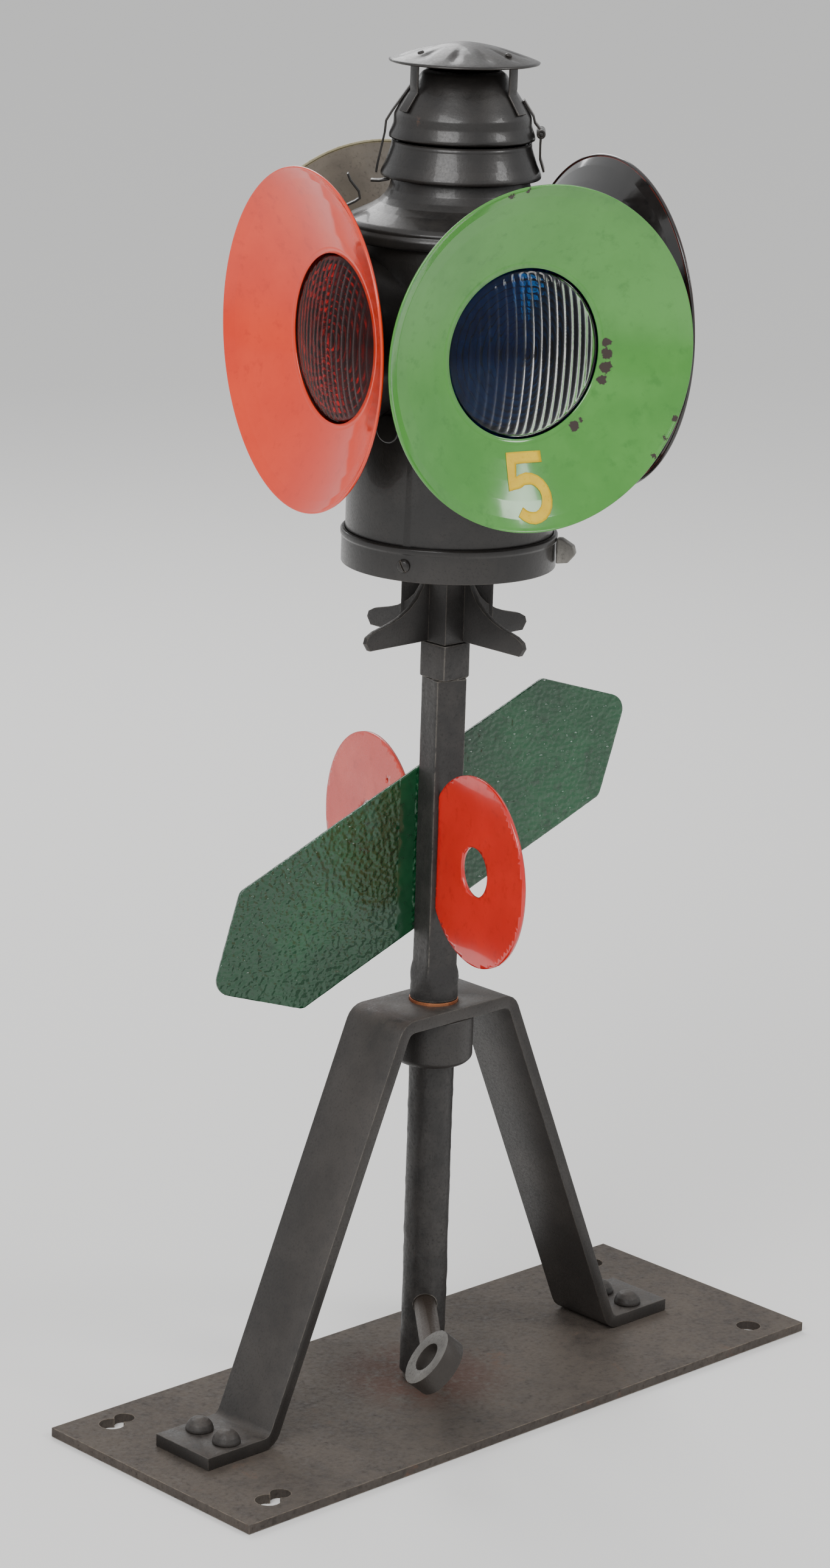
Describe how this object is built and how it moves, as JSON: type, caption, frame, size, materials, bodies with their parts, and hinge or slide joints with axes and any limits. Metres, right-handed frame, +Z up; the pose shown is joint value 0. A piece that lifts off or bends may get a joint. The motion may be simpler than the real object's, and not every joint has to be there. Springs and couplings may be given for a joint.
{
  "type": "railway switch stand signal",
  "caption": "Low railway switch stand: base plate, bent yoke, turning spindle with crank, board and disc targets, and a lift-off signal lamp with lenses, day targets and hinged lid.",
  "frame": {"origin": "where the spindle's axis meets the base plate's underside", "axes": "+Z up along the spindle, +X along the base plate's long side, +Y across it towards the rear"},
  "size_m": [0.6096, 0.3194, 1.0591],
  "materials": {
    "black_paint": "worn brown-black paint over rough iron",
    "plate_steel": "dusty worn paint over rusty plate",
    "bare_iron": "bare machined iron, greyed",
    "bronze": "dull coppery",
    "green_paint": "dark green gloss over orange-peel texture",
    "red_paint": "gloss red",
    "lamp_black": "satin worn black with thin rust",
    "enamel_green": "vitreous enamel, gloss",
    "enamel_red": "vitreous enamel, gloss",
    "glass_blue": "pressed, ribbed",
    "glass_red": "pressed, ribbed",
    "brass": "tarnished",
    "wick_cotton": "woven, scorched at its end"
  },
  "bodies": {
    "stand": {"base_plate": "plate_steel", "yoke": "black_paint", "bearing_boss": "black_paint", "bearing_bush": "bronze", "step_bearing": "bare_iron", "foot_rivet_1": "black_paint", "foot_rivet_2": "black_paint", "foot_rivet_3": "black_paint", "foot_rivet_4": "black_paint"},
    "spindle": {"spindle": "black_paint", "green_board": "green_paint", "red_disc_front": "red_paint", "red_disc_rear": "red_paint", "crank_nut": "black_paint"},
    "crank_eye": {"eye_bolt": "bare_iron"},
    "lamp": {"base_ring": "lamp_black", "base_screw_1": "lamp_black", "base_screw_2": "lamp_black", "base_screw_3": "lamp_black", "day_target_green_front": "enamel_green", "day_target_green_rear": "enamel_green", "day_target_red_left": "enamel_red", "day_target_red_right": "enamel_red", "hasp_staple": "lamp_black", "hinge_leaf_lower": "lamp_black", "hinge_pin": "lamp_black", "lamp_body": "lamp_black", "lamp_socket": "black_paint", "lens_blue_front": "glass_blue", "lens_blue_rear": "glass_blue", "lens_holder_front": "lamp_black", "lens_holder_left": "lamp_black", "lens_holder_rear": "lamp_black", "lens_holder_right": "lamp_black", "lens_red_left": "glass_red", "lens_red_right": "glass_red", "neck_band": "lamp_black", "ring_lug": "bare_iron", "shoulder": "lamp_black"},
    "lid": {"hood": "lamp_black", "rain_cap": "lamp_black", "cap_strap_1": "lamp_black", "cap_strap_2": "lamp_black", "cap_strap_3": "lamp_black", "hinge_leaf_upper": "lamp_black", "hasp": "lamp_black"},
    "catch": {"catch_lever": "lamp_black"},
    "peephole": {"peephole_cover": "lamp_black"},
    "fount": {"oil_fount": "brass", "burner": "brass"},
    "filler": {"filler_cap": "brass"},
    "knob": {"wick_knob": "brass"},
    "wick": {"wick": "wick_cotton"}
  },
  "joints": [
    {"name": "spindle_turn", "type": "hinge", "parent": "stand", "child": "spindle", "pos_m": [0, 0, 0.3], "axis": [0, 0, 1], "range_deg": [-6, 84]},
    {"name": "crank_eye_turn", "type": "hinge", "parent": "spindle", "child": "crank_eye", "pos_m": [0, 0, 0.074], "axis": [-0.6468, -0.7627, 0], "range_deg": [-90, 90]},
    {"name": "lamp_lift", "type": "slide", "parent": "spindle", "child": "lamp", "axis": [0, 0, 1], "range_m": [0, 0.06]},
    {"name": "lid_hinge", "type": "hinge", "parent": "lamp", "child": "lid", "pos_m": [0.04101, -0.04101, 0.9945], "axis": [0.7071, 0.7071, 0], "range_deg": [0, 100]},
    {"name": "catch_swing", "type": "hinge", "parent": "lamp", "child": "catch", "pos_m": [-0.05668, 0.05285, 0.94], "axis": [0.682, 0.7314, 0], "range_deg": [0, 15]},
    {"name": "peephole_swing", "type": "hinge", "parent": "lamp", "child": "peephole", "pos_m": [-0.07852, -0.01244, 0.78908], "axis": [-0.9877, -0.1564, 0], "range_deg": [0, 80]},
    {"name": "fount_lift", "type": "slide", "parent": "lamp", "child": "fount", "axis": [0, 0, 1], "range_m": [0, 0.15]},
    {"name": "filler_turn", "type": "hinge", "parent": "fount", "child": "filler", "pos_m": [-0.00725, -0.02705, 0.7758], "axis": [0, 0, 1], "range_deg": [0, 360]},
    {"name": "wick_knob_turn", "type": "hinge", "parent": "fount", "child": "knob", "pos_m": [0.01932, -0.00518, 0.7898], "axis": [0.9659, -0.2588, 0], "range_deg": [0, 360]},
    {"name": "wick_raise", "type": "slide", "parent": "fount", "child": "wick", "axis": [0, 0, 1], "range_m": [0, 0.006]}
  ],
  "couplings": [
    {"joint": "wick_raise", "follows": "wick_knob_turn", "m_per_rad": 0.00095}
  ]
}
